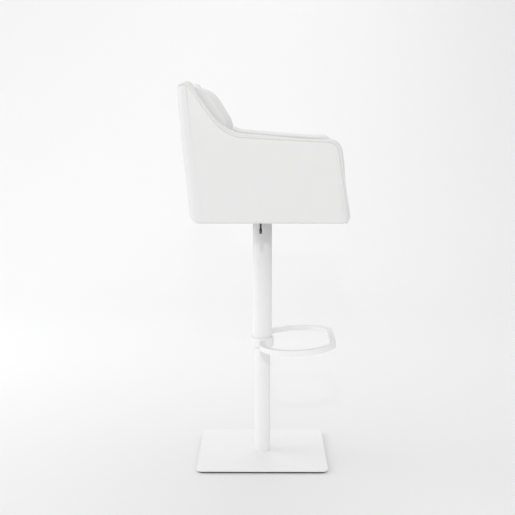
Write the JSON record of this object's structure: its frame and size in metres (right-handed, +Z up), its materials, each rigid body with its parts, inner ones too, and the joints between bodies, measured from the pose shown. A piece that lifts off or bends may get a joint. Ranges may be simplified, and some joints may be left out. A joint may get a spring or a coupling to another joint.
{
  "type": "bar stool with footrest",
  "caption": "Height-adjustable swivel bar stool: padded armchair shell on a telescopic gas-lift column with a footrest loop and a square foot plate.",
  "frame": {"origin": "on the floor, on the axis of the column, under the middle of the foot plate", "axes": "+Z up along the column; the sitter faces -Y; +X is the sitter's left, so the lever is on -X"},
  "size_m": [0.5, 0.5035, 1.1737],
  "materials": {
    "powder_white": "satin",
    "black_rubber": "matte",
    "black_plastic": "satin",
    "zinc_steel": "satin",
    "chrome_rod": "polished",
    "brass_piston": "satin",
    "black_steel": "satin",
    "black_fabric": "matte",
    "plywood": "matte",
    "white_leather": "satin",
    "padded_leather": "satin"
  },
  "bodies": {
    "base": {"base_pad": "black_rubber", "base_plate": "powder_white", "base_screws": "zinc_steel", "tube_plug": "zinc_steel", "lower_tube": "powder_white", "guide_bush": "black_plastic", "slide_ring": "black_plastic", "thrust_bearing": "zinc_steel"},
    "rod": {"piston_rod": "chrome_rod", "piston": "brass_piston", "rod_clip": "zinc_steel"},
    "seat": {"gas_cylinder": "black_steel", "cylinder_guide": "zinc_steel", "taper_socket": "black_steel", "seat_pan": "black_steel", "tube_cap": "black_plastic", "upper_tube": "powder_white", "lower_bush": "black_plastic", "collar": "powder_white", "collar_screws": "zinc_steel", "footrest_loop": "powder_white", "pivot_pin": "zinc_steel", "seat_bolts": "zinc_steel", "seat_washers": "zinc_steel", "tee_nuts": "zinc_steel", "dust_cover": "black_fabric", "seat_board": "plywood", "side_board_left": "plywood", "side_board_right": "plywood", "back_board": "plywood", "corner_post_left": "plywood", "corner_post_right": "plywood", "frame_screws": "zinc_steel", "post_screws": "zinc_steel", "outer_panel_left": "white_leather", "outer_panel_right": "white_leather", "back_panel": "white_leather", "arm_gusset_left": "white_leather", "arm_gusset_right": "white_leather", "top_gusset": "white_leather", "arm_pad_left": "padded_leather", "arm_pad_right": "padded_leather", "seat_cushion": "padded_leather", "back_cushion": "padded_leather"},
    "lever": {"lever_rod": "zinc_steel", "lever_grip": "black_plastic"},
    "valve": {"release_pin": "chrome_rod"}
  },
  "joints": [
    {"name": "swivel", "type": "hinge", "parent": "base", "child": "rod", "pos_m": [0, 0, 0.038], "axis": [0, 0, 1], "continuous": true},
    {"name": "lift", "type": "slide", "parent": "rod", "child": "seat", "axis": [0, 0, 1], "range_m": [-0.21, 0]},
    {"name": "lever_pull", "type": "hinge", "parent": "seat", "child": "lever", "pos_m": [-0.038, 0.005, 0.757], "axis": [0, 1, 0], "range_deg": [0, 6], "stiffness_Nm_per_rad": 3, "springref_deg": -4.58},
    {"name": "pin_press", "type": "slide", "parent": "seat", "child": "valve", "axis": [0, 0, -1], "range_m": [0, 0.0042]}
  ],
  "couplings": [
    {"joint": "pin_press", "follows": "lever_pull", "m_per_rad": 0.0385}
  ]
}
